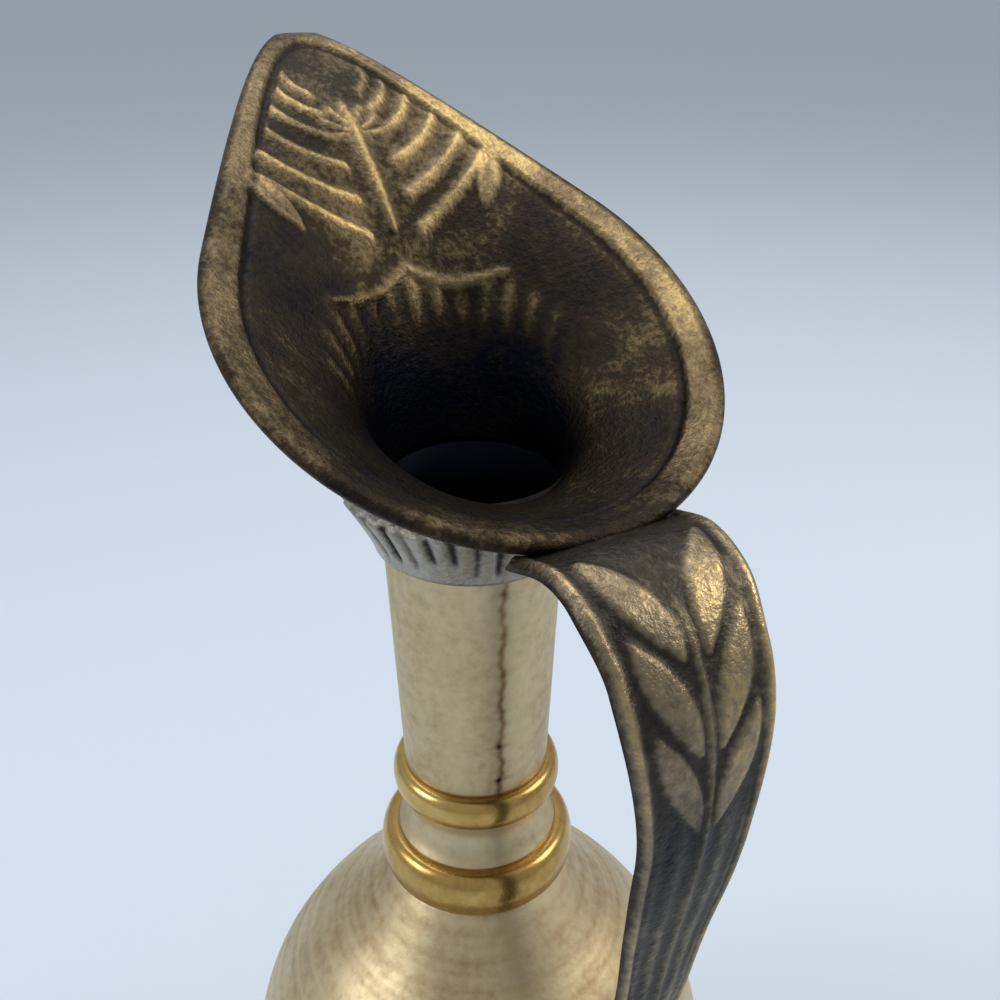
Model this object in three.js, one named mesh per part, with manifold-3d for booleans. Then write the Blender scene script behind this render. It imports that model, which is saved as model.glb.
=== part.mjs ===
// Brass ewer: a spun and cast pouring vessel with a leaf-shaped mouth, a fluted collar, a tapered neck
// between turned rings, a round body on a flared foot, and a cast strap handle.
// Millimetres, +Z up. The origin is on the vessel's axis at the table. The spout points to -X and the
// handle to +X. Sections are (radius from the axis, height) pairs.
import * as THREE from "three";
import { mergeVertices } from "three/addons/utils/BufferGeometryUtils.js";
import Module from "manifold-3d";

const wasm = await Module();
wasm.setup();

// Driving dimensions
const jointGap = 0.3; // clearance of each soldered or sleeved joint
const spunWall = 1.3; // wall of the spun body and foot
const roundSteps = 40; // facets round each turned piece
const weldDistance = 0.002; // vertices closer than this are one

const footRadius = 34;
const footHeight = 18;
const footRimHeight = 3.2;
const footWaistRadius = 13;
const basePlateThickness = 1.4;
const footLandWidth = 3;

const knopRadius = 17.5;
const knopHeight = 6;
const knopBore = 8;
const footSpigotDrop = 5; // how far the spigot hangs into the foot

const bodyRadius = 46;
const bodyHeight = 96;
const bodySeamShare = 0.42; // height of the widest line as a share of the body's height
const bodyBottomRadius = 12;
const bodyTopRadius = 15.2;
const seamLap = 3;

const shoulderRingRadius = 17.6;
const shoulderRingHeight = 9.5;
const waistRadius = 12.4;
const waistEndRadius = 13.6;
const waistHeight = 8.4;
const neckRingRadius = 14.8;
const neckRingHeight = 6.4;
const neckWall = 1.2;
const neckBottomRadius = 12.6;
const neckTopRadius = 14.4;
const neckLength = 54.4;
const spigotWall = 1;
const spigotReach = 5; // how far the neck's spigot reaches into the pieces above and below the rings

const collarHeight = 13;
const collarBelowJoint = 10; // how far the collar reaches down over the neck
const collarBottomRadius = 15.8;
const collarTopRadius = 20.6;
const collarBevel = 3.4; // height of the collar's sloping top
const fluteCount = 34;
const fluteDepth = 0.6;

const mouthWall = 2.3;
const throatRadius = 13.3;
const throatFlare = 1.8;
const lipRadius = 37; // round part of the lip, seen from above
const spoutReach = 80; // where the lip's straight sides would meet
const spoutTipRounding = 0.13; // radians
const lipHeight = 26.8; // lip above the throat's foot on the axis
const lipSlope = 0.5; // rise of the lip towards the spout, per millimetre
const lipBead = 3.2; // thickness of the rolled edge

const handleTopWidth = 34; // where the strap leaves the lip
const handleShoulderWidth = 24;
const handleMidWidth = 18.5;
const handleLowWidth = 11.5;
const handleTailWidth = 16;
const handleThickness = 4.2;
const handleEdgeRib = 0.9;
const handleSteps = 40;

// Heights of the joints, from the table up
const knopFloor = footHeight;
const bodyFloor = knopFloor + knopHeight;
const bodyTop = bodyFloor + bodyHeight;
const waistFloor = bodyTop + shoulderRingHeight;
const neckRingFloor = waistFloor + waistHeight;
const neckFloor = neckRingFloor + neckRingHeight;
const neckTop = neckFloor + neckLength;
const mouthFloor = neckTop;

const brass = { color: 0xb3924f, roughness: 0.28, metalness: 1 };
const spunBrass = new THREE.MeshStandardMaterial(brass);
const ringBrass = new THREE.MeshStandardMaterial({ ...brass, color: 0xc79a35, roughness: 0.16 });
const filedBrass = new THREE.MeshStandardMaterial({ ...brass, color: 0x8f887c, roughness: 0.45 });
const castBrass = new THREE.MeshStandardMaterial({ ...brass, color: 0x5f5136, roughness: 0.48 });

const part = new THREE.Group();

function addPiece(name, geometry, material) {
  const mesh = new THREE.Mesh(geometry, material);
  mesh.name = name;
  part.add(mesh);
  return mesh;
}

// A closed surface through rings of points. Each ring is closed, and the last ring either joins the
// first (closed = true) or both ends get a flat cap.
function skinRings(rings, closed) {
  const across = rings[0].length;
  const position = rings.flat(2);
  const index = [];
  const last = closed ? rings.length : rings.length - 1;
  for (let i = 0; i < last; i++) {
    const here = i * across;
    const next = ((i + 1) % rings.length) * across;
    for (let j = 0; j < across; j++) {
      const k = (j + 1) % across;
      index.push(here + j, here + k, next + k, here + j, next + k, next + j);
    }
  }
  if (!closed) {
    const end = (rings.length - 1) * across;
    for (let j = 1; j < across - 1; j++) {
      index.push(0, j + 1, j);
      index.push(end, end + j, end + j + 1);
    }
  }
  const geometry = new THREE.BufferGeometry();
  geometry.setAttribute("position", new THREE.Float32BufferAttribute(position, 3));
  geometry.setIndex(index);
  return facingOut(geometry);
}

function signedVolume(geometry) {
  const p = geometry.getAttribute("position");
  const t = geometry.index.array;
  const [a, b, c] = [new THREE.Vector3(), new THREE.Vector3(), new THREE.Vector3()];
  let sum = 0;
  for (let i = 0; i < t.length; i += 3) {
    a.fromBufferAttribute(p, t[i]);
    b.fromBufferAttribute(p, t[i + 1]);
    c.fromBufferAttribute(p, t[i + 2]);
    sum += a.dot(b.cross(c)) / 6;
  }
  return sum;
}

function facingOut(geometry) {
  if (signedVolume(geometry) < 0) {
    const t = geometry.index.array;
    for (let i = 0; i < t.length; i += 3) {
      [t[i + 1], t[i + 2]] = [t[i + 2], t[i + 1]];
    }
  }
  geometry.computeVertexNormals();
  return geometry;
}

// A section turned about the axis. The section is an open list of (radius, height) pairs and closes on itself.
function turned(section, steps = roundSteps) {
  const points = [...section, section[0]].map(([r, z]) => new THREE.Vector2(r, z));
  const geometry = new THREE.LatheGeometry(points, steps);
  geometry.rotateX(Math.PI / 2);
  geometry.deleteAttribute("normal");
  geometry.deleteAttribute("uv");
  return facingOut(mergeVertices(geometry, 1e-4));
}

// Points on a smooth curve through the given (radius, height) pairs.
function smooth(pairs, count) {
  const curve = new THREE.SplineCurve(pairs.map(([r, z]) => new THREE.Vector2(r, z)));
  return curve.getPoints(count).map((p) => [p.x, p.y]);
}

// The same curve moved sideways by a wall, towards the axis when the wall is positive.
function offset(curve, wall) {
  return curve.map(([r, z], i) => {
    const [r0, z0] = curve[Math.max(i - 1, 0)];
    const [r1, z1] = curve[Math.min(i + 1, curve.length - 1)];
    const length = Math.hypot(r1 - r0, z1 - z0);
    return [r - (wall * (z1 - z0)) / length, z + (wall * (r1 - r0)) / length];
  });
}

// A wall between a curve and its offset, with both ends cut level.
function shellSection(outer, wall) {
  const inner = offset(outer, wall);
  inner[0][1] = outer[0][1];
  inner[inner.length - 1][1] = outer[outer.length - 1][1];
  return [...outer, ...inner.reverse()];
}

function toSolid(geometry) {
  const bare = geometry.clone();
  for (const name of ["normal", "uv"]) {
    if (bare.getAttribute(name)) bare.deleteAttribute(name);
  }
  const merged = mergeVertices(bare, 1e-4);
  return new wasm.Manifold(
    new wasm.Mesh({
      numProp: 3,
      vertProperties: new Float32Array(merged.attributes.position.array),
      triVerts: new Uint32Array(merged.index.array),
    }),
  );
}

function toGeometry(solid) {
  const mesh = solid.getMesh();
  const geometry = new THREE.BufferGeometry();
  geometry.setAttribute("position", new THREE.BufferAttribute(new Float32Array(mesh.vertProperties), 3));
  geometry.setIndex(new THREE.BufferAttribute(new Uint32Array(mesh.triVerts), 1));
  return mergeVertices(geometry, weldDistance);
}

function largestBody(solid) {
  return solid.decompose().sort((a, b) => b.volume() - a.volume())[0];
}

// What is left of a casting once its neighbours' shapes are cut from it, without the crumbs
function trimmed(geometry, ...neighbours) {
  let solid = toSolid(geometry);
  for (const neighbour of neighbours) solid = solid.subtract(toSolid(neighbour));
  const welded = toSolid(toGeometry(largestBody(solid)));
  const whole = toGeometry(largestBody(welded));
  whole.computeVertexNormals();
  return whole;
}

// Foot: a flared pedestal with a rolled rim, open below, and the plate that closes it
function makeFoot() {
  const flare = smooth(
    [
      [footRadius, footRimHeight],
      [footRadius * 0.8, footHeight * 0.34],
      [footWaistRadius + 4.5, footHeight * 0.6],
      [footWaistRadius, footHeight],
    ],
    6,
  );
  const inner = offset(flare, spunWall).reverse();
  inner[0][1] = footHeight;
  const section = [
    [footRadius - footLandWidth, 0],
    [footRadius - 0.6, 0],
    [footRadius, 0.6],
    ...flare,
    ...inner.slice(0, -1),
    [footRadius - footLandWidth, footRimHeight],
  ];
  addPiece("foot", turned(section), spunBrass);
}

function makeBasePlate() {
  const radius = footRadius - footLandWidth - jointGap;
  const section = [
    [0, 0],
    [radius, 0],
    [radius, basePlateThickness],
    [0, basePlateThickness],
  ];
  addPiece("base_plate", turned(section), spunBrass);
}

// A bulged ring with a bore, standing on a level floor
function ringSection(floor, height, radius, bore, edge) {
  const section = [[bore, floor]];
  const steps = 6;
  for (let i = 0; i <= steps; i++) {
    const angle = -Math.PI / 2 + (Math.PI * i) / steps;
    const bulge = Math.cos(angle) ** 0.8;
    section.push([edge + (radius - edge) * bulge, floor + (height * (1 + Math.sin(angle))) / 2]);
  }
  section.push([bore, floor + height]);
  return section;
}

function makeKnop() {
  const section = ringSection(knopFloor, knopHeight, knopRadius, knopBore, footWaistRadius);
  addPiece("foot_knop", turned(section), ringBrass);
}

// Body: two spun halves that meet at the widest line, with a lap inside the upper half
const seamHeight = bodyFloor + bodyHeight * bodySeamShare;

function bodyLowerCurve() {
  const rise = seamHeight - bodyFloor;
  return smooth(
    [
      [bodyBottomRadius, bodyFloor],
      [bodyRadius * 0.56, bodyFloor + rise * 0.1],
      [bodyRadius * 0.83, bodyFloor + rise * 0.36],
      [bodyRadius * 0.97, bodyFloor + rise * 0.7],
      [bodyRadius, seamHeight],
    ],
    8,
  );
}

function bodyUpperCurve() {
  const rise = bodyTop - seamHeight;
  return smooth(
    [
      [bodyRadius, seamHeight],
      [bodyRadius * 0.985, seamHeight + rise * 0.17],
      [bodyRadius * 0.9, seamHeight + rise * 0.4],
      [bodyRadius * 0.715, seamHeight + rise * 0.64],
      [bodyRadius * 0.5, seamHeight + rise * 0.82],
      [bodyTopRadius, bodyTop],
    ],
    10,
  );
}

function makeBody() {
  const lower = bodyLowerCurve();
  const inside = offset(lower, spunWall);
  inside[inside.length - 1][1] = seamHeight;
  const floorHeight = bodyFloor + spunWall;
  const bowl = [
    [0, bodyFloor],
    ...lower,
    ...inside.slice(1).reverse(),
    [bodyBottomRadius, floorHeight],
    [0, floorHeight],
  ];
  addPiece("body_lower", turned(bowl), spunBrass);
  addPiece("body_upper", turned(shellSection(bodyUpperCurve(), spunWall)), spunBrass);
  const lapRadius = bodyRadius - spunWall - jointGap;
  const lap = [
    [lapRadius - spunWall, seamHeight - seamLap],
    [lapRadius - 0.7, seamHeight - seamLap],
    [lapRadius, seamHeight],
    [lapRadius - 0.5, seamHeight + seamLap],
    [lapRadius - spunWall, seamHeight + seamLap],
  ];
  addPiece("seam_band_inside", turned(lap), spunBrass);
}

// Neck: two turned rings with a hollow between them, and the tapered tube
const neckBore = neckBottomRadius - neckWall;

function makeNeck() {
  const shoulder = ringSection(bodyTop, shoulderRingHeight, shoulderRingRadius, neckBore, bodyTopRadius - 0.4);
  addPiece("shoulder_ring", turned(shoulder), ringBrass);
  const hollow = smooth(
    [
      [waistEndRadius + 0.9, waistFloor],
      [waistEndRadius - 0.4, waistFloor + waistHeight * 0.25],
      [waistRadius, waistFloor + waistHeight * 0.62],
      [waistEndRadius - 0.6, waistFloor + waistHeight],
    ],
    6,
  );
  const waist = [[neckBore, waistFloor], ...hollow, [neckBore, neckRingFloor]];
  addPiece("neck_waist", turned(waist), spunBrass);
  const ring = ringSection(neckRingFloor, neckRingHeight, neckRingRadius, neckBore, neckBottomRadius);
  addPiece("neck_ring", turned(ring), ringBrass);
  const tube = [
    [neckBottomRadius, neckFloor],
    [neckTopRadius, neckTop - collarBelowJoint],
    [neckTopRadius, neckTop],
    [neckTopRadius - neckWall, neckTop],
    [neckTopRadius - neckWall, neckTop - collarBelowJoint],
    [neckBore, neckFloor],
  ];
  addPiece("neck_tube", turned(tube), spunBrass);
}

// Mouth: a cast funnel whose lip is round at the back and drawn out to a leaf point
function lipReach(angle) {
  const fromSpout = Math.abs(Math.PI - Math.abs(angle));
  const tangent = Math.acos(lipRadius / spoutReach);
  const eased = Math.sqrt(fromSpout ** 2 + spoutTipRounding ** 2);
  return eased < tangent ? lipRadius / Math.cos(tangent - eased) : lipRadius;
}

function lipTop(angle) {
  return mouthFloor + lipHeight - lipSlope * lipReach(angle) * Math.cos(angle);
}

// The funnel's inner line at an angle round the axis, from the throat up to the lip
function funnelLine(angle, steps) {
  const reach = lipReach(angle) - lipBead / 2;
  const rise = lipTop(angle) - mouthFloor;
  const line = new THREE.CubicBezierCurve(
    new THREE.Vector2(throatRadius, mouthFloor),
    new THREE.Vector2(throatRadius + throatFlare, mouthFloor + rise * 0.5),
    new THREE.Vector2(throatRadius + (reach - throatRadius) * 0.4, mouthFloor + rise * 0.8),
    new THREE.Vector2(reach, mouthFloor + rise),
  );
  return line.getPoints(steps).map((p) => [p.x, p.y]);
}

function mouthSection(angle, grow) {
  const inner = funnelLine(angle, 12);
  const outer = offset(inner, -(mouthWall + grow));
  const leastRise = 0.12; // keeps the outside of the throat above its level foot
  outer.forEach((point, i) => (point[1] = Math.max(point[1], mouthFloor + leastRise * i)));
  outer[0][1] = mouthFloor;
  const edge = inner[inner.length - 1];
  const under = outer[outer.length - 1];
  const along = [edge[0] - inner[inner.length - 2][0], edge[1] - inner[inner.length - 2][1]];
  const scale = (lipBead / 2 + grow) / Math.hypot(...along);
  const nose = [0.25, 0.6, 0.85].map((share) => {
    const push = Math.sin(Math.PI * share) ** 0.5 * scale;
    return [
      edge[0] + (under[0] - edge[0]) * share + along[0] * push,
      edge[1] + (under[1] - edge[1]) * share + along[1] * push,
    ];
  });
  return [...inner, ...nose, ...outer.reverse()];
}

function mouthGeometry(grow = 0) {
  const rings = [];
  for (let i = 0; i < roundSteps; i++) {
    const angle = (2 * Math.PI * i) / roundSteps;
    const section = mouthSection(angle > Math.PI ? angle - 2 * Math.PI : angle, grow);
    rings.push(section.map(([r, z]) => [r * Math.cos(angle), r * Math.sin(angle), z]));
  }
  return skinRings(rings, true);
}

// Collar: a conical ferrule with filed flutes that hides the joint of neck and mouth
function makeCollar() {
  const floor = neckTop - collarBelowJoint;
  const levels = 3;
  const around = fluteCount * 4;
  const bore = neckTopRadius + jointGap;
  const rings = [];
  for (let i = 0; i < around; i++) {
    const angle = (2 * Math.PI * i) / around;
    const flute = fluteDepth * (0.5 - 0.5 * Math.cos(fluteCount * angle)) ** 2;
    const section = [];
    for (let j = 0; j <= levels; j++) {
      const share = j / levels;
      const plain = collarBottomRadius + (collarTopRadius - collarBottomRadius) * share ** 1.2;
      section.push([plain - flute * (j === 0 ? 0.4 : 1), floor + (collarHeight - collarBevel) * share]);
    }
    section.push([bore + mouthWall, floor + collarHeight], [bore, floor + collarHeight], [bore, floor]);
    rings.push(section.map(([r, z]) => [r * Math.cos(angle), r * Math.sin(angle), z]));
  }
  addPiece("fluted_collar", trimmed(skinRings(rings, true), mouthGeometry(jointGap)), filedBrass);
}

// Handle: a cast strap with raised edges. Its path lies in the plane of the spout.
const handlePath = new THREE.CatmullRomCurve3(
  [
    [34, mouthFloor + 5.6],
    [42, mouthFloor + 7.6],
    [48.5, mouthFloor + 5],
    [54, mouthFloor - 1.5],
    [57.2, mouthFloor - 10],
    [57.9, mouthFloor - 21],
    [56.4, mouthFloor - 34],
    [54, mouthFloor - 47],
    [51.8, mouthFloor - 61],
    [49.2, bodyTop + 7.3],
    [46, bodyTop - 5.7],
    [43.4, bodyTop - 14.7],
    [44.4, bodyTop - 24.7],
    [46.6, bodyTop - 35.7],
  ].map(([x, z]) => new THREE.Vector3(x, 0, z)),
);

// Width of the strap at shares of its length
const handleWidths = [
  [0, handleTopWidth],
  [0.1, handleShoulderWidth + 3],
  [0.17, handleShoulderWidth],
  [0.36, handleMidWidth],
  [0.6, handleMidWidth * 0.72],
  [0.8, handleLowWidth],
  [0.92, handleTailWidth],
  [1, 4],
];

function handleWidth(share) {
  for (let i = 1; i < handleWidths.length; i++) {
    const [s0, w0] = handleWidths[i - 1];
    const [s1, w1] = handleWidths[i];
    if (share <= s1) return THREE.MathUtils.lerp(w0, w1, THREE.MathUtils.smoothstep(share, s0, s1));
  }
  return handleWidths.at(-1)[1];
}

// Strap section: x across, y outwards from the path, with a rib along each edge and a domed back
function strapSection(width, thickness) {
  const half = width / 2;
  const rib = handleEdgeRib;
  return [
    [-half, 0],
    [-half * 0.96, thickness * 0.36 + rib],
    [-half * 0.84, thickness * 0.36 + rib],
    [-half * 0.72, thickness * 0.3],
    [-half * 0.36, thickness * 0.42],
    [0, thickness * 0.5],
    [half * 0.36, thickness * 0.42],
    [half * 0.72, thickness * 0.3],
    [half * 0.84, thickness * 0.36 + rib],
    [half * 0.96, thickness * 0.36 + rib],
    [half, 0],
    [half * 0.8, -thickness * 0.38],
    [half * 0.4, -thickness * 0.5],
    [-half * 0.4, -thickness * 0.5],
    [-half * 0.8, -thickness * 0.38],
  ];
}

function handleGeometry() {
  const rings = [];
  for (let i = 0; i <= handleSteps; i++) {
    const share = i / handleSteps;
    const at = handlePath.getPointAt(share);
    const along = handlePath.getTangentAt(share);
    const out = new THREE.Vector3(-along.z, 0, along.x).normalize();
    const section = strapSection(handleWidth(share), handleThickness);
    rings.push(section.map(([x, y]) => [at.x + out.x * y, x, at.z + out.z * y]));
  }
  return skinRings(rings, false);
}

function makeMouthAndHandle() {
  addPiece("mouth", mouthGeometry(), castBrass);
  const handle = trimmed(handleGeometry(), mouthGeometry(jointGap), turned(bodyEnvelope()));
  addPiece("handle", handle, castBrass);
}

// Everything within the joint's clearance of the body, as one solid, to trim the handle's tail
function bodyEnvelope() {
  const upper = offset(bodyUpperCurve(), -jointGap);
  const lower = offset(bodyLowerCurve(), -jointGap);
  return [[0, bodyFloor], ...lower, ...upper.slice(1), [0, bodyTop]];
}

// Spigots: the stud between foot and body, and the sleeve that threads the neck's rings together
function makeSpigots() {
  const stud = [
    [0, knopFloor - footSpigotDrop],
    [knopBore - jointGap, knopFloor - footSpigotDrop],
    [knopBore - jointGap, bodyFloor],
    [0, bodyFloor],
  ];
  addPiece("foot_spigot", turned(stud), spunBrass);
  const radius = neckBore - jointGap;
  const sleeve = [
    [radius - spigotWall, bodyTop - spigotReach],
    [radius, bodyTop - spigotReach],
    [radius, neckFloor + spigotReach],
    [radius - spigotWall, neckFloor + spigotReach],
  ];
  addPiece("neck_spigot", turned(sleeve), spunBrass);
}

makeFoot();
makeBasePlate();
makeKnop();
makeBody();
makeNeck();
makeCollar();
makeMouthAndHandle();
makeSpigots();

export default part;
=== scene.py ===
import math
import random

import bmesh
import bpy
import numpy as np
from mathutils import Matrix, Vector


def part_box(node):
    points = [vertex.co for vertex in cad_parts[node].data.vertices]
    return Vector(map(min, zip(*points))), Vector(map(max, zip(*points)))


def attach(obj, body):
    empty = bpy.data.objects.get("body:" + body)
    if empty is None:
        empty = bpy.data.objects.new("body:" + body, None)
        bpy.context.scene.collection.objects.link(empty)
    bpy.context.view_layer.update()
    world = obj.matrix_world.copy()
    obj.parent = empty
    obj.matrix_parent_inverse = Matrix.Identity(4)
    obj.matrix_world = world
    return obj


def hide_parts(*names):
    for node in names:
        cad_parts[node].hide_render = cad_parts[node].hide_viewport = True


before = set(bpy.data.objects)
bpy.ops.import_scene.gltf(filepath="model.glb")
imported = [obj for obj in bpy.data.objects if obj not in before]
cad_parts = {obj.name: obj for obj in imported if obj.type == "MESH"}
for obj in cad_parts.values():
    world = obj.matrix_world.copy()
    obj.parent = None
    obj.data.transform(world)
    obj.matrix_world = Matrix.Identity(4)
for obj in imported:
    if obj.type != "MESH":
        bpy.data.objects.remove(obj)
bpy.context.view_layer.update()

MM = 0.001
rng = random.Random(7)

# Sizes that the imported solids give
NECK_LOW, NECK_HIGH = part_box("neck_tube")
COLLAR_LOW, COLLAR_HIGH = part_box("fluted_collar")
MOUTH_FLOOR = NECK_HIGH[2]
COLLAR_FLOOR = COLLAR_LOW[2]
BODY_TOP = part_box("body_upper")[1][2]

# Sizes of the mouth's casting
THROAT_RADIUS = 13.3 * MM
THROAT_FLARE = 1.8 * MM
LIP_RADIUS = 37 * MM
SPOUT_REACH = 80 * MM
TIP_ROUNDING = 0.13
LIP_HEIGHT = 26.8 * MM
LIP_SLOPE = 0.5
LIP_BEAD = 3.2 * MM
MOUTH_WALL = 2.3 * MM
RELIEF = 0.75 * MM
BEAD_LIFT = 0.55 * MM
GROOVE_DEPTH = 0.3 * MM

# Sizes of the handle: points of its path as (x, height over the mouth's floor or the body's top)
PATH_FROM_MOUTH = (
    (34, 5.6), (42, 7.6), (48.5, 5), (54, -1.5), (57.2, -10),
    (57.9, -21), (56.4, -34), (54, -47), (51.8, -61),
)
PATH_FROM_BODY = ((49.2, 7.3), (46, -5.7), (43.4, -14.7), (44.4, -24.7), (46.6, -35.7))
HANDLE_WIDTHS = ((0, 28), (0.1, 26), (0.17, 24), (0.36, 18.5), (0.6, 13.3), (0.8, 11.5), (0.92, 16), (1, 4))
HANDLE_THICKNESS = 4.2 * MM
STRAP_RELIEF = 0.75 * MM

# Sizes of the collar
FLUTES = 34
FLUTE_DEPTH = 0.9 * MM
COLLAR_BOTTOM_RADIUS = 15.8 * MM
COLLAR_BEVEL = 3.4 * MM
COLLAR_CLEARANCE = 0.3 * MM

# Sizes of the turned pieces
SPUN_WALL = 1.3 * MM
NECK_WALL = 1.2 * MM
NECK_BOTTOM_RADIUS = 12.6 * MM
NECK_BORE = NECK_BOTTOM_RADIUS - NECK_WALL
WAIST_RADII = (14.5 * MM, 13.2 * MM, 12.4 * MM, 13 * MM)
SHOULDER_RING_EDGE = 14.8 * MM
BODY_BOTTOM_RADIUS = 12 * MM
BODY_TOP_RADIUS = 15.2 * MM
FOOT_WAIST_RADIUS = 13 * MM
FOOT_FLARE_RADIUS = 17.5 * MM
FOOT_RIM_HEIGHT = 3.2 * MM
FOOT_LAND_WIDTH = 3 * MM
FOOT_EDGE_BEVEL = 0.6 * MM
KNOP_BORE = 8 * MM
AXIS_CLEARANCE = 0.4 * MM
LEAST_RADIUS = 0.5 * MM

# Camera, fitted to the ellipses of the collar and rings in the photograph
CAMERA_ACROSS = (0.1323, -0.0714)
CAMERA_OVER_COLLAR = 0.0859
CAMERA_PITCH = math.radians(62)
CAMERA_TURN = math.radians(60)
SENSOR_MM, LENS_MM = 24, 26

# The brazed seam of the neck faces the camera a little to the right
SEAM_ANGLE = math.radians(-10)

BACKDROP = (0.63, 0.70, 0.785)
SKY = (0.9, 0.95, 1)
SKY_STRENGTH = 0.5
UNLIT = (0.006, 0.007, 0.012)  # painted shade deep inside the neck's bore, a bluish near black
FLOOR_SIZE = 14
EWER_MIDDLE = (0, 0, 0.17)

# Wear goes from about 0, in the tarnish, to about 0.6, where brass is rubbed bright. The same field also
# carries painted light: painted shade in the neck's bore (far below 0) and round the mouth's throat, and a
# painted highlight along one side of the lip.
PLAIN_WEAR = 0.55
# Painted shade: the bore's value lies this far below the tarnish so that it takes the near-black UNLIT colour
BORE_PAINTED_SHADE = -0.6


def smoothstep(a, b, x):
    t = min(max((x - a) / (b - a), 0), 1)
    return t * t * (3 - 2 * t)


def ridge(distance, width):
    return math.exp(-((distance / width) ** 2))


def wave(x):
    """A cosine wave between 0 and 1."""
    return 0.5 + 0.5 * math.cos(x)


def spline(points, count):
    """Points evenly spaced along a Catmull-Rom curve."""
    steps = 24
    p = np.array(points, float)
    p = np.vstack([2 * p[0] - p[1], p, 2 * p[-1] - p[-2]])
    fine = []
    for i in range(1, len(p) - 2):
        a, b, c, d = p[i - 1], p[i], p[i + 1], p[i + 2]
        for t in np.linspace(0, 1, steps, endpoint=False):
            bend = (2 * a - 5 * b + 4 * c - d) * t**2 + (3 * b - a - 3 * c + d) * t**3
            fine.append(0.5 * (2 * b + (c - a) * t + bend))
    fine = np.array(fine + [p[-2]])
    run = np.concatenate([[0], np.cumsum(np.linalg.norm(np.diff(fine, axis=0), axis=1))])
    at = np.linspace(0, run[-1], count)
    return [tuple(p) for p in np.column_stack([np.interp(at, run, fine[:, k]) for k in range(fine.shape[1])])]


def normal_at(line, k):
    """The unit normal of an open line of points, to the left of its run."""
    a, b = line[max(k - 1, 0)], line[min(k + 1, len(line) - 1)]
    length = math.hypot(b[0] - a[0], b[1] - a[1])
    return -(b[1] - a[1]) / length, (b[0] - a[0]) / length


def round_axis(section, angle):
    """A section's points in space, at an angle round the axis."""
    return [(r * math.cos(angle), r * math.sin(angle), z) for r, z in section]


def mesh_piece(name, rings, wear_and_painted_light, material, node, closed=True):
    """A skin over rings of points, inside its node's box, with a value of wear and painted light kept at each
    point.
    """
    rows, across = len(rings), len(rings[0])
    low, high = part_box(node)
    verts = [tuple(min(max(c, lo), hi) for c, lo, hi in zip(p, low, high)) for ring in rings for p in ring]
    faces = []
    for i in range(rows if closed else rows - 1):
        for j in range(across):
            k, n = (j + 1) % across, (i + 1) % rows
            faces.append((i * across + j, n * across + j, n * across + k, i * across + k))
    if not closed:
        faces.append(tuple(range(across)))
        faces.append(tuple(reversed(range((rows - 1) * across, rows * across))))
    mesh = bpy.data.meshes.new(name)
    mesh.from_pydata(verts, [], faces)
    mesh.update()
    field = mesh.attributes.new("wear_and_painted_light", "FLOAT", "POINT")
    field.data.foreach_set("value", [w for row in wear_and_painted_light for w in row])
    mesh.polygons.foreach_set("use_smooth", [True] * len(mesh.polygons))
    piece = bpy.data.objects.new(name, mesh)
    bpy.context.scene.collection.objects.link(piece)
    weld_and_face_out(mesh)
    mesh.materials.append(material)
    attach(piece, "root")
    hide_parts(node)
    return piece


def weld_and_face_out(mesh):
    bm = bmesh.new()
    bm.from_mesh(mesh)
    bmesh.ops.remove_doubles(bm, verts=bm.verts, dist=1e-7)
    bmesh.ops.recalc_face_normals(bm, faces=bm.faces)
    bm.to_mesh(mesh)
    bm.free()


# Materials
def noise_node(tree, scale, detail, source):
    noise = tree.nodes.new("ShaderNodeTexNoise")
    noise.inputs["Scale"].default_value = scale
    noise.inputs["Detail"].default_value = detail
    noise.inputs["Roughness"].default_value = 0.6
    tree.links.new(source, noise.inputs["Vector"])
    return noise.outputs["Fac"]


def math_node(tree, operation, a, b):
    node = tree.nodes.new("ShaderNodeMath")
    node.operation = operation
    for socket, value in zip(node.inputs, (a, b)):
        if isinstance(value, (int, float)):
            socket.default_value = value
        else:
            tree.links.new(value, socket)
    return node.outputs[0]


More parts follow.
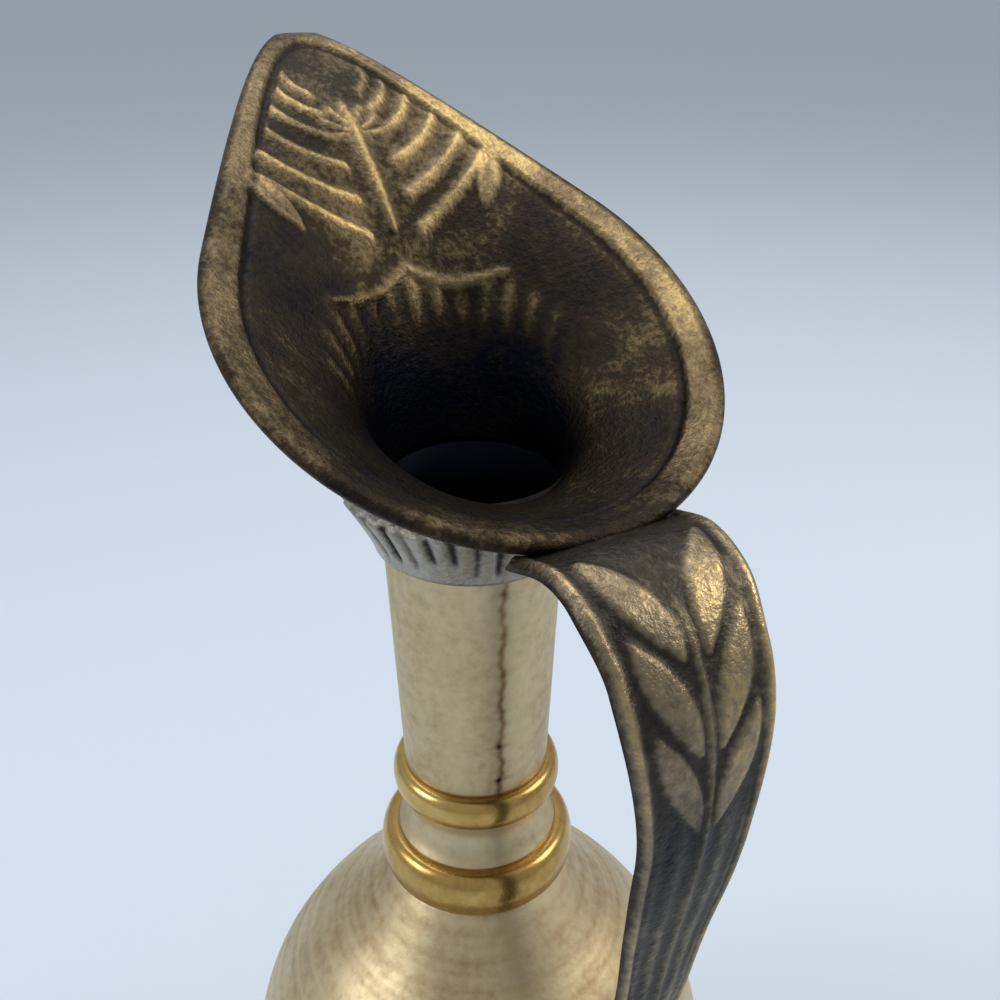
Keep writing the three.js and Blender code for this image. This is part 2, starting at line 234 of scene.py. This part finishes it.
def brass(name, dark, mid, bright, rough, grain, bump, streak=1.0):
    """Brass whose colour goes from patina to rubbed metal with noise and with the field of wear and painted
    light; the lowest stop of its ramp is painted shade.
    """
    material = bpy.data.materials.new(name)
    material.use_nodes = True
    tree = material.node_tree
    nodes, links = tree.nodes, tree.links
    shader = nodes["Principled BSDF"]
    shader.inputs["Metallic"].default_value = 1
    place = nodes.new("ShaderNodeTexCoord")
    stretch = nodes.new("ShaderNodeMapping")
    stretch.inputs["Scale"].default_value = (1, 1, streak)
    links.new(place.outputs["Object"], stretch.inputs["Vector"])

    cloud = noise_node(tree, grain * 0.28, 5, stretch.outputs[0])
    speck = noise_node(tree, grain * 4, 4, place.outputs["Object"])
    wear_and_painted_light = nodes.new("ShaderNodeAttribute")
    wear_and_painted_light.attribute_name = "wear_and_painted_light"
    clouds = math_node(tree, "MULTIPLY", cloud, 0.75)
    specks = math_node(tree, "MULTIPLY", speck, 0.35)
    wear_and_light_row = math_node(tree, "SUBTRACT", wear_and_painted_light.outputs["Fac"], PLAIN_WEAR)
    level = math_node(tree, "ADD", math_node(tree, "ADD", clouds, specks), wear_and_light_row)

    ramp = nodes.new("ShaderNodeValToRGB")
    stops = ramp.color_ramp.elements
    stops[0].position, stops[0].color = 0.3, (*dark, 1)
    stops[1].position, stops[1].color = 0.8, (*bright, 1)
    # The stop at 0.04 is painted shade: UNLIT, near black, reached only where the field carries painted shade
    for position, colour in ((0.52, mid), (0.04, UNLIT)):
        stops.new(position).color = (*colour, 1)
    links.new(level, ramp.inputs["Fac"])
    links.new(ramp.outputs["Color"], shader.inputs["Base Color"])

    spread = nodes.new("ShaderNodeMapRange")
    spread.inputs["From Min"].default_value = 0.25
    spread.inputs["From Max"].default_value = 0.85
    spread.inputs["To Min"].default_value = min(rough + 0.2, 1)
    spread.inputs["To Max"].default_value = rough
    links.new(level, spread.inputs["Value"])
    links.new(spread.outputs["Result"], shader.inputs["Roughness"])

    fine = noise_node(tree, grain * 9, 3, place.outputs["Object"])
    relief = nodes.new("ShaderNodeBump")
    relief.inputs["Strength"].default_value = bump
    relief.inputs["Distance"].default_value = 0.4 * MM
    links.new(math_node(tree, "ADD", math_node(tree, "MULTIPLY", fine, 0.5), speck), relief.inputs["Height"])
    links.new(relief.outputs["Normal"], shader.inputs["Normal"])
    return material


CAST = brass("cast_brass", (0.035, 0.026, 0.016), (0.2, 0.145, 0.075), (0.72, 0.5, 0.19), 0.28, 230, 0.7)
STRAP = brass("strap_brass", (0.06, 0.05, 0.038), (0.27, 0.21, 0.13), (0.83, 0.56, 0.2), 0.26, 190, 0.6, 0.5)
SPUN = brass("spun_brass", (0.36, 0.24, 0.12), (0.58, 0.46, 0.27), (0.72, 0.6, 0.39), 0.34, 130, 0.12, 0.35)
RING = brass("ring_brass", (0.3, 0.14, 0.04), (0.52, 0.33, 0.1), (0.74, 0.52, 0.19), 0.15, 120, 0.06)
FILED = brass(
    "filed_brass", (0.05, 0.045, 0.04), (0.28, 0.255, 0.215), (0.52, 0.48, 0.41), 0.36, 260, 0.5, 0.15
)

# Ornament inside the mouth, in mm. Ribs cross the leaf as nested bows; each number is where one meets
# the middle line
LEAF_TIP = 63
LEAF_TAPER = 0.62
LEAF_LEAST_WIDTH = 6.0
BOWS = (44.5, 41, 37, 32.5, 28, 24)
BOW_RISE = 7
BOW_WIDTH = 0.85
BOW_START = (3, 4.5)
STEM = (25, 43)
PETALS = 5
FAN_REACH = 7
FAN_DROP = 5
ALMOND = (27, 18.5)
ALMOND_ALONG = (0.78, 0.62)
ALMOND_HALF_LENGTH, ALMOND_HALF_WIDTH = 5, 1.9
BORDER_TOP, BORDER_SLOPE, BORDER_WIDTH = 21.5, 0.4, 0.6
BORDER_END = (14, 17)
SPOKES = 30
SPOKES_FROM, SPOKES_TO = 16.5, 22


def bows(u, v):
    side = abs(v)
    width = max(LEAF_LEAST_WIDTH, (LEAF_TIP - u) * LEAF_TAPER)
    if not BOW_START[0] < side < width * 1.05:
        return 0
    rise = BOW_RISE * (side / width) ** 1.6
    return max(ridge(u - bow - rise, BOW_WIDTH) for bow in BOWS) * smoothstep(*BOW_START, side)


def stem(u, v):
    if not STEM[0] < u < STEM[1]:
        return 0
    return ridge(abs(v), 0.9 + 0.5 * smoothstep(*STEM, u))


def fan(u, v):
    from_root = u - (STEM[1] - FAN_DROP)
    radius = math.hypot(from_root, v)
    if radius >= FAN_REACH or from_root <= -1:
        return 0
    turn = math.atan2(v, from_root) / (math.pi / (PETALS + 1))
    return wave(2 * math.pi * turn) * smoothstep(FAN_REACH, 5.4, radius) * smoothstep(0.4, 2, radius)


def almonds(u, v):
    du, dv = u - ALMOND[0], abs(v) - ALMOND[1]
    along = du * ALMOND_ALONG[0] + dv * ALMOND_ALONG[1]
    over = abs(dv * ALMOND_ALONG[0] - du * ALMOND_ALONG[1])
    if abs(along) >= ALMOND_HALF_LENGTH:
        return 0
    half = ALMOND_HALF_WIDTH * (1 - (along / ALMOND_HALF_LENGTH) ** 2)
    return smoothstep(0.5, -0.4, over - half) * (0.7 + 0.3 * min(over, 1))


def border(u, v):
    line = BORDER_TOP - BORDER_SLOPE * abs(v)
    return 0.8 * ridge(u - line, BORDER_WIDTH) * smoothstep(BORDER_END[1], BORDER_END[0], abs(v))


def spokes(u, v):
    radius = math.hypot(u, v)
    if not SPOKES_FROM < radius < SPOKES_TO or u <= 0:
        return 0
    fade = smoothstep(SPOKES_FROM, 18, radius) * smoothstep(SPOKES_TO, 20, radius) * smoothstep(0, 7, u)
    return 0.5 * wave(math.atan2(v, u) * SPOKES) * fade


def leaf_relief(u, v, from_lip):
    """Height of the ornament, 0 to 1."""
    height = max(form(u, v) for form in (bows, stem, fan, almonds, border, spokes))
    return height * smoothstep(2.5, 4.5, from_lip)


# Mouth
def lip_reach(angle):
    from_spout = abs(math.pi - abs(angle))
    tangent = math.acos(LIP_RADIUS / SPOUT_REACH)
    eased = math.hypot(from_spout, TIP_ROUNDING)
    return LIP_RADIUS / math.cos(tangent - eased) if eased < tangent else LIP_RADIUS


def funnel_point(angle, t):
    """A point of the funnel's inner line, from the throat at t = 0 up to the lip at t = 1."""
    reach = lip_reach(angle) - LIP_BEAD / 2
    rise = LIP_HEIGHT - LIP_SLOPE * lip_reach(angle) * math.cos(angle)
    points = (
        (THROAT_RADIUS, 0),
        (THROAT_RADIUS + THROAT_FLARE, rise * 0.5),
        (THROAT_RADIUS + (reach - THROAT_RADIUS) * 0.4, rise * 0.8),
        (reach, rise),
    )
    weights = ((1 - t) ** 3, 3 * t * (1 - t) ** 2, 3 * t * t * (1 - t), t**3)
    r = sum(w * p[0] for w, p in zip(weights, points))
    z = sum(w * p[1] for w, p in zip(weights, points))
    return r, z + MOUTH_FLOOR


def inner_surface(line, angle):
    """The funnel's inner points with bead, groove and ornament, and their wear, with a painted highlight
    along one side of the lip and painted shade round the throat.
    """
    ring, wear_and_light_row = [], []
    for k, (r, z) in enumerate(line):
        normal = normal_at(line, k)
        from_lip = math.hypot(line[-1][0] - r, line[-1][1] - z) / MM
        u, v = -r * math.cos(angle) / MM, r * math.sin(angle) / MM
        high = leaf_relief(u, v, from_lip)
        bead = smoothstep(4.2, 3.1, from_lip)
        groove = ridge(from_lip - 4.6, 0.5)
        lift = RELIEF * high + BEAD_LIFT * bead - GROOVE_DEPTH * groove
        ring.append((r + normal[0] * lift, z + normal[1] * lift))
        rubbed = 0.24 + 0.1 * smoothstep(16, 30, u) + 0.3 * high + 0.12 * bead - 0.14 * groove
        # Painted highlight: the lip is lighter along one side only, where light falls on it
        painted_highlight_edge = smoothstep(9, 2, from_lip) * smoothstep(4, 20, v) * smoothstep(-30, 0, u)
        # Painted shade: darker round the throat, where the funnel goes down into the neck
        throat = smoothstep(19, 14, math.hypot(u, v))
        wear_and_light_row.append(rubbed + 0.16 * painted_highlight_edge - 0.2 * throat)
    return ring, wear_and_light_row


def rolled_edge(line, under, steps):
    """The rounded nose between the lip's inner end and the outer wall, and its wear."""
    end = line[-1]
    push = (end[0] - line[-2][0], end[1] - line[-2][1])
    scale = (LIP_BEAD / 2) / math.hypot(*push)
    ring, wear_and_light_row = [], []
    for k in range(1, steps):
        share = k / steps
        out = math.sin(math.pi * share) ** 0.5 * scale
        r = end[0] + (under[0] - end[0]) * share + push[0] * out
        z = end[1] + (under[1] - end[1]) * share + push[1] * out
        ring.append((r, z + BEAD_LIFT * (1 - share)))
        wear_and_light_row.append(0.36 - 0.14 * share)
    return ring, wear_and_light_row


def make_mouth():
    around, up, nose_steps, down = 432, 110, 10, 40
    rings, wear_and_painted_light = [], []
    for i in range(around):
        angle = 2 * math.pi * i / around
        angle = angle - 2 * math.pi if angle > math.pi else angle
        line = [funnel_point(angle, (k / up) ** 0.9) for k in range(up + 1)]
        normals = [normal_at(line, k) for k in range(up + 1)]
        outer = [(r - n[0] * MOUTH_WALL, z - n[1] * MOUTH_WALL) for (r, z), n in zip(line, normals)]
        inner, inner_wear_and_light = inner_surface(line, angle)
        nose, nose_wear = rolled_edge(line, outer[-1], nose_steps)
        outside = [outer[round(up * (1 - k / down))] for k in range(down + 1)]
        section = [(r, max(z, MOUTH_FLOOR)) for r, z in inner + nose + outside]
        rings.append(round_axis(section, angle))
        wear_and_painted_light.append(inner_wear_and_light + nose_wear + [0.3] * len(outside))
    mesh_piece("mouth_leaf", rings, wear_and_painted_light, CAST, "mouth")


# Handle
def handle_width(share):
    for (s0, w0), (s1, w1) in zip(HANDLE_WIDTHS, HANDLE_WIDTHS[1:]):
        if share <= s1:
            return (w0 + (w1 - w0) * smoothstep(s0, s1, share)) * MM
    return HANDLE_WIDTHS[-1][1] * MM


def strap_relief(share, x):
    """Height of the strap's ornament at a share of its length and x from -1 to 1 across."""
    side = abs(x)
    rib = ridge(side - 0.89, 0.07)
    vein = 0.6 * ridge(x, 0.06) * smoothstep(0.1, 0.16, share)
    lobe, lobe_reach = 0, 0.055
    for centre in (0.11, 0.19, 0.27):
        along = (share - centre) / lobe_reach
        if abs(along) < 1:
            leaf = 0.2 * (1 - along * along)
            lobe = max(lobe, smoothstep(0.08, -0.04, abs(side - 0.4 + 0.26 * along) - leaf))
    long_veins = 0.35 * wave(side * 16) * smoothstep(0.28, 0.36, share) * smoothstep(0.85, 0.7, side)
    return max(rib, vein, 0.75 * lobe, long_veins)


def make_handle():
    steps, across = 260, 48
    points = [(x * MM, MOUTH_FLOOR + dz * MM) for x, dz in PATH_FROM_MOUTH]
    points += [(x * MM, BODY_TOP + dz * MM) for x, dz in PATH_FROM_BODY]
    path = spline(points, steps)
    rings, wear_and_painted_light = [], []
    for i, (x0, z0) in enumerate(path):
        share = i / (steps - 1)
        out = normal_at(path, i)
        width = handle_width(share)
        ring, wear_and_light_row = [], []
        for j in range(across + 1):
            x = -1 + 2 * j / across
            high = strap_relief(share, x)
            dome = HANDLE_THICKNESS * 0.34 * (1 - abs(x) ** 8) * (1 - 0.25 * abs(x))
            lift = dome + STRAP_RELIEF * high
            ring.append((x0 + out[0] * lift, x * width / 2, z0 + out[1] * lift))
            wear_and_light_row.append(0.24 + 0.36 * high)
        for j in range(across - 1, 0, -1):
            x = -1 + 2 * j / across
            drop = HANDLE_THICKNESS * 0.48 * (1 - abs(x) ** 3)
            ring.append((x0 - out[0] * drop, x * width / 2, z0 - out[1] * drop))
            wear_and_light_row.append(0.25)
        rings.append(ring)
        wear_and_painted_light.append(wear_and_light_row)
    mesh_piece("handle_strap", rings, wear_and_painted_light, STRAP, "handle", closed=False)


# Collar
def make_collar():
    floor, top = COLLAR_LOW[2], COLLAR_HIGH[2]
    rim, bore = COLLAR_HIGH[0], NECK_HIGH[0] + COLLAR_CLEARANCE
    depth = [rng.uniform(0.35, 1.0) for _ in range(FLUTES)]
    lean = [rng.uniform(-0.25, 0.25) for _ in range(FLUTES)]
    start = [rng.uniform(0.0, 0.35) for _ in range(FLUTES)]
    around, levels = FLUTES * 14, 16
    rings, wear_and_painted_light = [], []
    for i in range(around):
        angle = 2 * math.pi * i / around
        turn = FLUTES * angle / (2 * math.pi)
        which = int(turn) % FLUTES
        section, wear_and_light_row = [], []
        for k in range(levels + 1):
            share = k / levels
            off = turn - int(turn) - 0.5 + lean[which] * (share - 0.5)
            cut = ridge(off, 0.2) * depth[which] * smoothstep(start[which], start[which] + 0.25, share)
            plain = COLLAR_BOTTOM_RADIUS + (rim - COLLAR_BOTTOM_RADIUS) * share**1.2
            section.append((plain - FLUTE_DEPTH * cut, floor + (top - COLLAR_BEVEL - floor) * share))
            wear_and_light_row.append(0.62 - 0.55 * cut)
        section.append((rim - 0.5 * MM, top - COLLAR_BEVEL + 0.7 * MM))
        section += [(bore + MOUTH_WALL, top), (bore, top), (bore, floor)]
        wear_and_light_row += [0.5, 0.2, 0.2, 0.2]
        rings.append(round_axis(section, angle))
        wear_and_painted_light.append(wear_and_light_row)
    mesh_piece("collar_fluted", rings, wear_and_painted_light, FILED, "fluted_collar")


# Turned pieces
def turned(name, section, material, node, wear_and_light_at, around=240):
    """A closed section turned about the axis, with its wear and painted light from a function of angle,
    radius and height.
    """
    angles = [2 * math.pi * i / around for i in range(around)]
    rings = [round_axis(section, angle) for angle in angles]
    wear_and_painted_light = [[wear_and_light_at(angle, r, z) for r, z in section] for angle in angles]
    mesh_piece(name, rings, wear_and_painted_light, material, node)


def plain_wear(angle, r, z):
    return PLAIN_WEAR


def seam_wear_and_bore_shade(angle, r, z):
    """The neck's brazed seam, with ticks across it, and painted shade in the bore."""
    off = (angle - SEAM_ANGLE + math.pi) % (2 * math.pi) - math.pi
    along = (z - NECK_LOW[2]) / MM
    wander = 0.25 * math.sin(along * 0.7) + 0.15 * math.sin(along * 2.3)
    bead = ridge(off * r / MM + wander, 0.55)
    tick = ridge((along % 7.5) - 3.7, 0.35) * ridge(off * r / MM, 1.6)
    # Painted shade: the bore and the inside of the sleeve get the near-black UNLIT colour
    in_sleeve = z > COLLAR_FLOOR - 0.01 * MM and r < NECK_HIGH[0] - 0.5 * MM
    if r < NECK_BORE + 0.6 * MM or in_sleeve:
        return BORE_PAINTED_SHADE
    return 0.5 - 0.3 * bead - 0.2 * tick


def spun_wear(angle, r, z):
    """Faint level lines that spinning leaves."""
    return 0.52 + 0.03 * math.sin(z / MM * 5.1) + 0.04 * math.sin(z / MM * 1.7 + 1)


def make_ring(node, edge, bore):
    low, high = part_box(node)
    radius, height, steps = high[0], high[2] - low[2], 24
    section = [(bore, low[2])]
    for k in range(steps + 1):
        angle = -math.pi / 2 + math.pi * k / steps
        bulge = max(math.cos(angle), 0) ** 0.8
        section.append((edge + (radius - edge) * bulge, low[2] + height * (1 + math.sin(angle)) / 2))
    section.append((bore, high[2]))
    turned(node + "_polished", section, RING, node, plain_wear)


def make_neck():
    top, floor, joint, steps = NECK_HIGH[0], NECK_LOW[2], COLLAR_FLOOR, 60
    section = []
    for k in range(steps + 1):
        share = k / steps
        radius = NECK_BOTTOM_RADIUS + (top - NECK_BOTTOM_RADIUS) * share
        section.append((radius, floor + (joint - floor) * share))
    section += [(top, NECK_HIGH[2]), (top - NECK_WALL, NECK_HIGH[2])]
    section += [(top - NECK_WALL, joint), (NECK_BORE, floor)]
    turned("neck_seamed", section, SPUN, "neck_tube", seam_wear_and_bore_shade, 360)
    low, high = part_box("neck_waist")
    heights = [low[2] + (high[2] - low[2]) * share for share in (0, 0.25, 0.62, 1)]
    hollow = spline(list(zip(WAIST_RADII, heights)), 20)
    section = [(NECK_BORE, low[2])] + hollow + [(NECK_BORE, high[2])]
    turned("waist_hollow", section, SPUN, "neck_waist", plain_wear)
    make_ring("neck_ring", NECK_BOTTOM_RADIUS, NECK_BORE)
    make_ring("shoulder_ring", SHOULDER_RING_EDGE, NECK_BORE)
    make_ring("foot_knop", FOOT_WAIST_RADIUS, KNOP_BORE)


def shell(curve):
    """The curve and its inner offset by the spun wall, as one closed section."""
    inner = []
    for k, (r, z) in enumerate(curve):
        normal = normal_at(curve, k)
        inner.append((max(r + SPUN_WALL * normal[0], LEAST_RADIUS), z + SPUN_WALL * normal[1]))
    inner[0] = (inner[0][0], curve[0][1])
    inner[-1] = (inner[-1][0], curve[-1][1])
    return curve + inner[::-1]


def make_body():
    low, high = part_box("body_lower")
    floor, seam, radius = low[2], high[2], high[0]
    rise = seam - floor
    shares = ((0.56, 0.1), (0.83, 0.36), (0.97, 0.7), (1, 1))
    points = [(radius * across, floor + rise * up) for across, up in shares]
    bowl = shell(spline([(BODY_BOTTOM_RADIUS, floor)] + points, 50))[:-1]
    inside = floor + SPUN_WALL
    bowl = [(AXIS_CLEARANCE, floor)] + bowl + [(BODY_BOTTOM_RADIUS, inside), (AXIS_CLEARANCE, inside)]
    turned("body_bowl", bowl, SPUN, "body_lower", spun_wear)
    rise = BODY_TOP - seam
    shares = ((1, 0), (0.985, 0.17), (0.9, 0.4), (0.715, 0.64), (0.5, 0.82))
    points = [(radius * across, seam + rise * up) for across, up in shares]
    shoulder = shell(spline(points + [(BODY_TOP_RADIUS, BODY_TOP)], 70))
    turned("body_shoulder", shoulder, SPUN, "body_upper", spun_wear)


def make_foot():
    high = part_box("foot")[1]
    radius, height = high[0], high[2]
    land = radius - FOOT_LAND_WIDTH
    points = [(radius, FOOT_RIM_HEIGHT), (radius * 0.8, height * 0.34)]
    points += [(FOOT_FLARE_RADIUS, height * 0.6), (FOOT_WAIST_RADIUS, height)]
    section = [(land, 0), (radius - FOOT_EDGE_BEVEL, 0), (radius, FOOT_EDGE_BEVEL)]
    section += shell(spline(points, 30))[:-1] + [(land, FOOT_RIM_HEIGHT)]
    turned("foot_flare", section, SPUN, "foot", spun_wear)


def finish_cad_nodes():
    """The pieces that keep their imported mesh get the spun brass."""
    for node in ("base_plate", "foot_spigot", "neck_spigot", "seam_band_inside"):
        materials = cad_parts[node].data.materials
        materials.clear()
        materials.append(SPUN)


# Stage, lights and camera
def make_floor():
    bpy.ops.mesh.primitive_plane_add(size=FLOOR_SIZE, location=(0, 0, 0))
    floor = bpy.context.object
    floor.name = "floor"
    material = bpy.data.materials.new("floor_pale")
    material.use_nodes = True
    shader = material.node_tree.nodes["Principled BSDF"]
    shader.inputs["Base Color"].default_value = (*BACKDROP, 1)
    shader.inputs["Roughness"].default_value = 0.9
    floor.data.materials.append(material)


def make_world():
    """A pale sky that lights the ewer, with the backdrop's colour where the camera sees it."""
    world = bpy.data.worlds.new("studio")
    bpy.context.scene.world = world
    world.use_nodes = True
    tree = world.node_tree
    nodes, links = tree.nodes, tree.links
    light = nodes["Background"]
    light.inputs["Color"].default_value = (*SKY, 1)
    light.inputs["Strength"].default_value = SKY_STRENGTH
    seen = nodes.new("ShaderNodeBackground")
    seen.inputs["Color"].default_value = (*BACKDROP, 1)
    path = nodes.new("ShaderNodeLightPath")
    either = math_node(tree, "MAXIMUM", path.outputs["Is Camera Ray"], path.outputs["Is Transmission Ray"])
    mix = nodes.new("ShaderNodeMixShader")
    links.new(either, mix.inputs["Fac"])
    links.new(light.outputs[0], mix.inputs[1])
    links.new(seen.outputs[0], mix.inputs[2])
    links.new(mix.outputs[0], nodes["World Output"].inputs["Surface"])


def add_light(name, place, size, power, colour=(1, 1, 1)):
    """A square lamp that looks at the ewer's middle."""
    lamp = bpy.data.lights.new(name, "AREA")
    lamp.size = size
    lamp.energy = power
    lamp.color = colour
    thing = bpy.data.objects.new(name, lamp)
    thing.location = place
    way = Vector(EWER_MIDDLE) - Vector(place)
    thing.rotation_euler = way.to_track_quat("-Z", "Y").to_euler()
    bpy.context.scene.collection.objects.link(thing)


def make_lights():
    add_light("window_right", (0.35, 0.75, 0.75), 0.4, 3.4, (1, 0.97, 0.92))
    add_light("window_left", (-0.2, -0.85, 0.6), 0.4, 2.6, (0.93, 0.97, 1))
    add_light("overhead", (-0.25, 0.1, 1.1), 0.7, 4.5)


def make_camera():
    data = bpy.data.cameras.new("camera")
    data.sensor_width = SENSOR_MM
    data.lens = LENS_MM
    camera = bpy.data.objects.new("camera", data)
    camera.location = (*CAMERA_ACROSS, COLLAR_FLOOR + CAMERA_OVER_COLLAR)
    camera.rotation_euler = (CAMERA_PITCH, 0, CAMERA_TURN)
    data.clip_start = 0.01
    bpy.context.scene.collection.objects.link(camera)
    bpy.context.scene.camera = camera


def plain(box):
    return [[float(c) for c in corner] for corner in box]


make_camera()
make_mouth()
make_handle()
make_collar()
make_neck()
make_body()
make_foot()
finish_cad_nodes()
make_floor()
make_world()
make_lights()
bpy.context.scene.view_settings.view_transform = "Standard"
